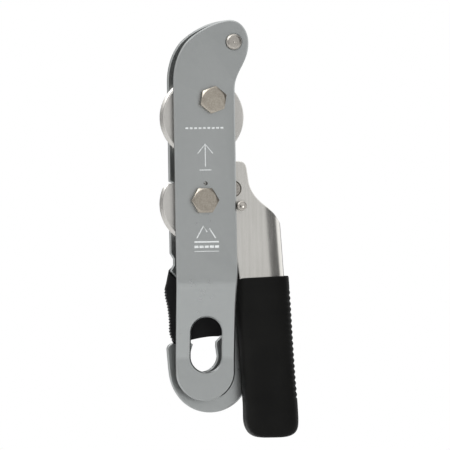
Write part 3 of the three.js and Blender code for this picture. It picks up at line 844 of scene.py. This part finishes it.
def make_handle_pins():
    low, high = span_y("cam_rivet")
    head, shank, inside = 3.9, 2.6, FLANGE_OUTER - SHEET - 0.1
    profile = [(0, low), (head, low), (head, -inside), (shank, -inside), (shank, inside), (head, inside)]
    profile += [(head, high), (0, high)]
    rivet = add_piece("rivet_cam", turned(soften(profile, 0.2), CAM_RIVET, 80), "handle", pin_metal,
                      ["cam_rivet"])
    dots = []
    for lift in (-1.7, 0, 1.7):
        at = (CAM_RIVET[0] + 2.1, CAM_RIVET[1] + lift)
        dots.append(turned([(0, low - 0.5), (0.62, low - 0.5), (0.62, low + 0.8), (0, low + 1.0)], at, 24))
    cut_with(rivet, dots)
    low, high = span_y("stop_pin")
    profile = [(0, low + 0.55), (0.55, low + 0.5), (1.2, low + 0.05), (2.1, low), (2.6, low + 0.45)]
    profile += [(2.6, -FLANGE_OUTER - 0.3), (1.7, -FLANGE_OUTER - 0.3), (1.7, high), (0, high)]
    add_piece("pin_stop", turned(soften(profile, 0.15), STOP_PIN, 72), "handle", pin_metal,
              ["stop_pin"])


# The grip's sides, as (height, x) with straight runs between.
GRIP_TOP, GRIP_FOOT = 41.8, -43.8
GRIP_DEPTH, GRIP_ROUND, GRIP_SIDES = 10.2, 11.5, 96
RIB_PITCH, RIB_HEIGHT, RIBS_TOP, RIBS_FOOT = 3.02, 0.6, 35.5, -24
SMOOTH_FROM = -24.5
CHANNEL_AIR = 0.3
GRIP_RIGHT = ((42.3, 45.3), (28, 46.1), (4, 47.2), (-12.5, 48.1), (-26, 49.1), (-33, 49.4))
GRIP_LEFT = ((41.3, 16.9), (20, 17.8), (0, 19.0), (-26, 20.6))


def along(table, z):
    """Reads x at a height from a table of heights that fall."""
    if z >= table[0][0]:
        return table[0][1]
    for (high, x_high), (low, x_low) in zip(table, table[1:]):
        if z >= low:
            return x_high + (x_low - x_high) * (high - z) / (high - low)
    return table[-1][1]


def grip_section(z, inset=0.0):
    """One level of the grip: squarer at the plates, rounder at the fingers, with finger ribs."""
    left, right = along(GRIP_LEFT, z), along(GRIP_RIGHT, z)
    depth = GRIP_DEPTH
    foot = GRIP_FOOT + GRIP_ROUND
    if z < foot:
        t = min(1.0, (foot - z) / GRIP_ROUND)
        left += 8.2 * (1 - math.sqrt(max(0.0, 1 - t**2.3)))
        right -= 8.2 * (1 - math.sqrt(max(0.0, 1 - t**4)))
        depth -= 2.2 * (1 - math.sqrt(max(0.0, 1 - t**4)))
    middle, half = (left + right) / 2, (right - left) / 2
    fade = max(0.0, min(1.0, (RIBS_TOP - z) / 1.5, (z - RIBS_FOOT) / 1.5))
    rib = RIB_HEIGHT * fade * (0.5 + 0.5 * math.cos(2 * math.pi * (z - 0.2) / RIB_PITCH)) ** 0.6
    spots = []
    for i in range(GRIP_SIDES):
        angle = 2 * math.pi * i / GRIP_SIDES
        c, s = math.cos(angle), math.sin(angle)
        power = 2 / (3.4 if c > 0 else 5.5)
        x = middle + (half - inset) * math.copysign(abs(c) ** power, c)
        y = (depth - inset) * math.copysign(abs(s) ** power, s)
        x += (rib - 0.45 * fade) * max(0.0, c) ** 1.6
        spots.append((x, y))
    return spots


def pocket_section(z):
    """The grip's pocket: the channel's outside with a little air."""
    spots = []
    right = from_web(CHANNEL_AIR, to_web((40, z))[1])[0]
    (x_top, z_top), (x_foot, z_foot) = CHANNEL_SIDE
    left = x_top - CHANNEL_AIR + (z_top - z) * (x_foot - x_top) / (z_top - z_foot)
    centre = right - WEB_LONG - CHANNEL_AIR
    deep = WEB_DEEP + CHANNEL_AIR
    for i in range(GRIP_SIDES):
        angle = 2 * math.pi * i / GRIP_SIDES
        c, s = math.cos(angle), math.sin(angle)
        if c > 0:
            spots.append((centre + (WEB_LONG + CHANNEL_AIR) * c, deep * s))
        else:
            power = 2 / 14
            x = centre - (centre - left) * abs(c) ** power
            spots.append((x, deep * math.copysign(abs(s) ** power, s)))
    return spots


def make_grip():
    bm = bmesh.new()
    levels = []
    pocket_foot = CHANNEL_FOOT - CHANNEL_AIR
    levels.append([(x, y, pocket_foot) for x, y in pocket_section(pocket_foot)])
    for i in range(1, 9):
        z = pocket_foot + (GRIP_TOP - 0.6 - pocket_foot) * i / 8
        levels.append([(x, y, z) for x, y in pocket_section(z)])
    for inset, drop in ((1.0, 0.0), (0.55, 0.05), (0.2, 0.3), (0.0, 0.8)):
        z = GRIP_TOP - drop
        tilt = 0.5 / 14
        levels.append([(x, y, z + (x - 31) * tilt) for x, y in grip_section(z, inset)])
    z = GRIP_TOP - 1.4
    while z > SMOOTH_FROM:
        levels.append([(x, y, z) for x, y in grip_section(z)])
        z -= RIB_PITCH / 12
    for i in range(1, 31):
        t = i / 30
        z = SMOOTH_FROM + (GRIP_FOOT - SMOOTH_FROM) * math.sin(t * math.pi / 2)
        levels.append([(x, y, z) for x, y in grip_section(z, 2.6 * t**8)])
    skin(bm, [[bm.verts.new(place) for place in level] for level in levels])
    add_piece("grip_moulded", bm, "handle", grip_rubber, ["handle_grip"], 60)


make_channel()
make_handle_pins()
make_grip()

# ---------------------------------------------------------------- head pin


def make_head_pin():
    low, high = span_y("head_pin")
    profile = [(0, low + 0.3), (0.45, low + 0.02), (1.4, low + 0.03), (2.9, low + 0.16), (3.8, low + 0.45)]
    profile += [(4.25, low + 1.1), (4.25, -PLATE_OUTER - 0.3)]
    profile += [(2.75, -PLATE_OUTER - 0.3), (2.75, -PLATE_INNER + 0.3), (4.6, -PLATE_INNER + 0.3)]
    profile += [(4.6, high - 0.4), (4.2, high), (0, high)]
    bm = turned(soften(profile, 0.3), HEAD_PIN, 96)
    add_piece("rivet_head_post", bm, "fixed_side", pin_metal, ["head_pin"], 40)


make_head_pin()

# ---------------------------------------------------------------- gate and springs

CHEEK_FROM = PLATE_OUTER + 0.3
CHEEK_TO = CHEEK_FROM + 3
GATE_PIN_BORE = 2.7
TOOTH_PITCH, TOOTH_DEPTH = 1.62, 0.7


def smooth_through(points, count):
    """A smooth line through points, with centripetal Catmull-Rom spacing."""
    ends = [2 * Vector(points[0]) - Vector(points[1]), 2 * Vector(points[-1]) - Vector(points[-2])]
    route = [ends[0], *(Vector(point) for point in points), ends[1]]
    line = []
    for p0, p1, p2, p3 in zip(route, route[1:], route[2:], route[3:]):
        times = [0.0]
        for a, b in ((p0, p1), (p1, p2), (p2, p3)):
            times.append(times[-1] + math.sqrt((b - a).length))
        t0, t1, t2, t3 = times
        for i in range(count):
            t = t1 + (t2 - t1) * i / count
            a1 = p0 * (t1 - t) / (t1 - t0) + p1 * (t - t0) / (t1 - t0)
            a2 = p1 * (t2 - t) / (t2 - t1) + p2 * (t - t1) / (t2 - t1)
            a3 = p2 * (t3 - t) / (t3 - t2) + p3 * (t - t2) / (t3 - t2)
            b1 = a1 * (t2 - t) / (t2 - t0) + a2 * (t - t0) / (t2 - t0)
            b2 = a2 * (t3 - t) / (t3 - t1) + a3 * (t - t1) / (t3 - t1)
            line.append(tuple(b1 * (t2 - t) / (t2 - t1) + b2 * (t - t1) / (t2 - t1)))
    line.append(tuple(points[-1]))
    return line


def thumb_edge():
    """The gate's left edge from its foot to its top, with rounded saw teeth."""
    line = smooth_through([(-14.6, 6.5), (-16.8, 12.3), (-17, 19), (-17.7, 26), (-19.1, 34.5), (-17.9, 40),
                           (-16.6, 46)], 34)
    teeth = []
    travelled = 0.0
    for i, point in enumerate(line):
        travelled += math.dist(point, line[i - 1]) if i else 0
        fade = max(0.0, min(1.0, (point[1] - 8.0) / 1.2, (36 - point[1]) / 1.2))
        tooth = TOOTH_DEPTH * fade * (1 - abs(math.sin(math.pi * travelled / TOOTH_PITCH)) ** 0.8)
        teeth.append((point[0] + tooth, point[1]))
    return teeth


def cheek_outline():
    line = thumb_edge()
    line += bezier((-16.6, 46), (-12, 51), (-6, 50.4), count=14)
    line += arc(GATE_AXLE, 8.4, 90 * DEG, -20 * DEG)
    line += bezier((12.2, 14.5), (12.5, 11), (9.4, 10.4), count=10)
    line += bezier((9.4, 10.4), (2, 10.8), (-6, 8.6), (-14.6, 6.5), count=20)
    return line


def plug_outline():
    """The part of the gate that fills the hook's mouth, level with the plate."""
    line = [point for point in thumb_edge() if point[1] < 44.3 and math.dist(point, GATE_AXLE) < GATE_REACH]
    line += [(-13.3, 41.1)]
    line += arc(GATE_AXLE, 7.5, -173 * DEG, -90 * DEG)
    line += [(GATE_AXLE[0], 9.2)]
    line += bezier((GATE_AXLE[0], 9.2), (-9, 8.4), (-13.4, 7.2), count=6)
    return line


def make_gate():
    bm = flat_plate([cheek_outline(), circle(GATE_AXLE, GATE_PIN_BORE)], CHEEK_FROM, CHEEK_TO, 0.35, 2)
    cheek = add_piece("gate_cheek", bm, "gate", gate_nylon, ["gate"], 40)
    pocket = [(3.2, CHEEK_FROM - 1), (5.5, CHEEK_FROM - 1), (5.5, CHEEK_TO - 0.7), (3.2, CHEEK_TO - 0.7)]
    cut_with(cheek, [turned(pocket, GATE_AXLE, 64, closed=True)])
    plug = flat_plate([plug_outline()], PLATE_INNER + 0.1, CHEEK_FROM + 0.4, 0.2, 2)
    add_piece("gate_plug", plug, "gate", gate_nylon, (), 40)
    low, high = span_y("gate_rivet")
    pin = 2.4
    profile = [(0, low), (pin + 1.5, low), (pin, low + 1.5), (pin, CHEEK_TO + 0.3), (4.4, CHEEK_TO + 0.3)]
    profile += [(4.1, high - 0.5), (2.8, high - 0.12), (1.2, high), (0.6, high - 0.15), (0, high - 0.25)]
    rivet = turned(soften(profile, 0.25), GATE_AXLE, 80)
    add_piece("rivet_gate", rivet, "moving_side", pin_metal, ["gate_rivet"], 40)


def make_springs():
    y = -(PLATE_INNER + FLANGE_OUTER) / 2
    x, z = SPRING_HOLE
    route = [(x - 0.6, -PLATE_OUTER + 2.3, z), (x - 0.6, -PLATE_INNER - 0.5, z)]
    route += [(x - 0.5, y - 0.4, z), (x - 0.8, y, z - 0.05)]
    route += [(x, y, z) for x, z in arc(LOWER, 8.9, 95 * DEG, 345 * DEG)]
    route += [(12.5, y, 79.4), (15.4, y, 78.6)]
    add_piece("spring_handle", tube(route, 0.5), "fixed_side", wire_metal,
              ["handle_spring"], 60)
    radius, turns = 4.4, 660 * DEG
    route = [(GATE_AXLE[0] + radius, PLATE_INNER + 0.8, GATE_AXLE[1])]
    route += [(GATE_AXLE[0] + radius, PLATE_OUTER + 0.2, GATE_AXLE[1])]
    for i in range(1, 121):
        x, z = polar(GATE_AXLE, radius, -turns * i / 120)
        route.append((x, CHEEK_FROM + 0.75 + (CHEEK_TO - CHEEK_FROM - 2.0) * i / 120, z))
    add_piece("spring_gate", tube(route, 0.3, 8), "moving_side", wire_metal,
              ["gate_spring"], 60)


make_gate()
make_springs()

# ---------------------------------------------------------------- etched marks on the fixed plate


def ribbon(bm, line, width, y):
    """A thin raised line along a path on the plate."""
    count = len(line)
    left, right = [], []
    for i, point in enumerate(line):
        before = line[i - 1] if i else point
        after = line[i + 1] if i < count - 1 else point
        way = Vector((after[0] - before[0], after[1] - before[1])).normalized()
        side = Vector((-way.y, way.x)) * width / 2
        left.append(bm.verts.new((point[0] + side.x, y, point[1] + side.y)))
        right.append(bm.verts.new((point[0] - side.x, y, point[1] - side.y)))
    for i in range(count - 1):
        bm.faces.new([left[i], left[i + 1], right[i + 1], right[i]])


def make_marks():
    """Plain strokes: an upright arrow, a mountain outline, and rows of dashes."""
    bm = bmesh.new()
    face = -PLATE_OUTER - 0.012
    ribbon(bm, [(0, 101), (0, 112.6)], 0.4, face)
    ribbon(bm, [(-4, 108), (0, 113), (4, 108)], 0.4, face - 0.004)
    ribbon(bm, [(-3.2, 99.2), (3.2, 99.2)], 0.4, face)
    for i in range(9):
        x = -10.4 + 2.35 * i
        ribbon(bm, [(x, 121.5), (x + 1.5, 121.5)], 0.9, face)
    ribbon(bm, [(-5.2, 63), (-1.6, 69.4), (0.3, 66.2), (1.6, 68.2), (4.9, 63)], 0.6, face)
    ribbon(bm, [(-6.6, 61), (6.6, 61)], 0.8, face)
    for i in range(5):
        x = -6.6 + 2.75 * i
        ribbon(bm, [(x, 58.4), (x + 2.2, 58.4)], 1.3, face)
    ribbon(bm, [(-6.6, 56), (6.6, 56)], 0.3, face)
    add_piece("etched_marks", bm, "fixed_side", mark_ink)


make_marks()

# ---------------------------------------------------------------- studio

TARGET = Vector((0.0119, 0.0, 0.0698))
CAMERA_DISTANCE = 6.0
VIEW_WIDTH = 0.2397
CAMERA_AZIMUTH = -8 * DEG
CAMERA_ROLL = -0.9 * DEG
SENSOR = 36.0
FLOOR_HALF, FLOOR_Z = 1.1, -0.075


def make_camera():
    data = bpy.data.cameras.new("camera")
    data.sensor_width = SENSOR
    data.lens = SENSOR * CAMERA_DISTANCE / VIEW_WIDTH
    data.clip_start = 0.1
    data.clip_end = 50
    camera = add_object("camera", data)
    away = Vector((math.sin(CAMERA_AZIMUTH), -math.cos(CAMERA_AZIMUTH), 0))
    camera.location = TARGET + away * CAMERA_DISTANCE
    facing = (-away).to_track_quat("-Z", "Y").to_matrix().to_4x4()
    roll = Matrix.Rotation(CAMERA_ROLL, 4, "Z")
    camera.matrix_world = Matrix.Translation(camera.location) @ facing @ roll
    bpy.context.scene.camera = camera


def make_floor():
    floor_mesh = bmesh.new()
    bmesh.ops.create_grid(floor_mesh, x_segments=2, y_segments=2, size=FLOOR_HALF)
    mesh = bpy.data.meshes.new("floor")
    floor_mesh.to_mesh(mesh)
    floor_mesh.free()
    floor = add_object("floor", mesh)
    floor.location = (0, 0, FLOOR_Z)
    paint = Nodes("floor_paint")
    paint.link(paint.ramp(paint.noise(3, 2), 0.3, 0.7, ((0.86, 0.86, 0.86), (0.9, 0.9, 0.9))),
               paint.shader.inputs["Base Color"])
    paint.shader.inputs["Roughness"].default_value = 0.9
    mesh.materials.append(paint.material)


def area_light(name, place, size, power):
    data = bpy.data.lights.new(name, "AREA")
    data.shape = "RECTANGLE"
    data.size = data.size_y = size
    data.energy = power
    lamp = add_object(name, data)
    lamp.location = place
    lamp.rotation_euler = (TARGET - Vector(place)).to_track_quat("-Z", "Y").to_euler()


# Brightness of the studio's walls by direction: degrees to the right of the front, and strength.
STUDIO_WALLS = ((-180, 0.06), (-150, 0.1), (-125, 1.0), (-56, 1.0), (-44, 0.25), (-16, 0.3), (-5, 0.98),
                (24, 1.02), (35, 0.2), (86, 0.2), (95, 1.7), (134, 1.7), (147, 0.1), (180, 0.06))


def make_world():
    world = bpy.data.worlds.new("studio")
    bpy.context.scene.world = world
    world.use_nodes = True
    tree = world.node_tree
    link = tree.links.new
    place = tree.nodes.new("ShaderNodeTexCoord")
    parts = tree.nodes.new("ShaderNodeSeparateXYZ")
    link(place.outputs["Generated"], parts.inputs["Vector"])
    behind = tree.nodes.new("ShaderNodeMath")
    behind.operation = "MULTIPLY"
    behind.inputs[1].default_value = -1
    link(parts.outputs["Y"], behind.inputs[0])
    turn = tree.nodes.new("ShaderNodeMath")
    turn.operation = "ARCTAN2"
    link(parts.outputs["X"], turn.inputs[0])
    link(behind.outputs[0], turn.inputs[1])
    share = tree.nodes.new("ShaderNodeMapRange")
    share.inputs["From Min"].default_value = -math.pi
    share.inputs["From Max"].default_value = math.pi
    link(turn.outputs[0], share.inputs["Value"])
    brightest = max(strength for _, strength in STUDIO_WALLS)
    walls = tree.nodes.new("ShaderNodeValToRGB")
    walls.color_ramp.interpolation = "EASE"
    while len(walls.color_ramp.elements) < len(STUDIO_WALLS):
        walls.color_ramp.elements.new(0.5)
    for element, (angle, strength) in zip(walls.color_ramp.elements, STUDIO_WALLS):
        element.position = angle / 360 + 0.5
        element.color = (*(strength / brightest,) * 3, 1)
    link(share.outputs["Result"], walls.inputs["Fac"])
    height = tree.nodes.new("ShaderNodeMapRange")
    height.interpolation_type = "SMOOTHSTEP"
    height.inputs["From Min"].default_value = 0.75
    height.inputs["From Max"].default_value = 0.95
    link(parts.outputs["Z"], height.inputs["Value"])
    ceiling = tree.nodes.new("ShaderNodeMix")
    ceiling.data_type = "RGBA"
    link(height.outputs["Result"], ceiling.inputs["Factor"])
    link(walls.outputs["Color"], ceiling.inputs["A"])
    ceiling.inputs["B"].default_value = (0.5, 0.5, 0.5, 1)
    sky = tree.nodes["Background"]
    link(ceiling.outputs["Result"], sky.inputs["Color"])
    sky.inputs["Strength"].default_value = brightest
    seen = tree.nodes.new("ShaderNodeBackground")
    seen.inputs["Color"].default_value = (1, 1, 1, 1)
    ray = tree.nodes.new("ShaderNodeLightPath")
    shown = tree.nodes.new("ShaderNodeMixShader")
    link(ray.outputs["Is Camera Ray"], shown.inputs["Fac"])
    link(sky.outputs["Background"], shown.inputs[1])
    link(seen.outputs["Background"], shown.inputs[2])
    link(shown.outputs["Shader"], tree.nodes["World Output"].inputs["Surface"])


bpy.context.scene.view_settings.view_transform = "Standard"
make_camera()
make_floor()
make_world()
area_light("high_left", (-0.9, -1.04, 1.25), 1.2, 27)
area_light("overhead", (0.2, -0.3, 1.8), 1.6, 9)
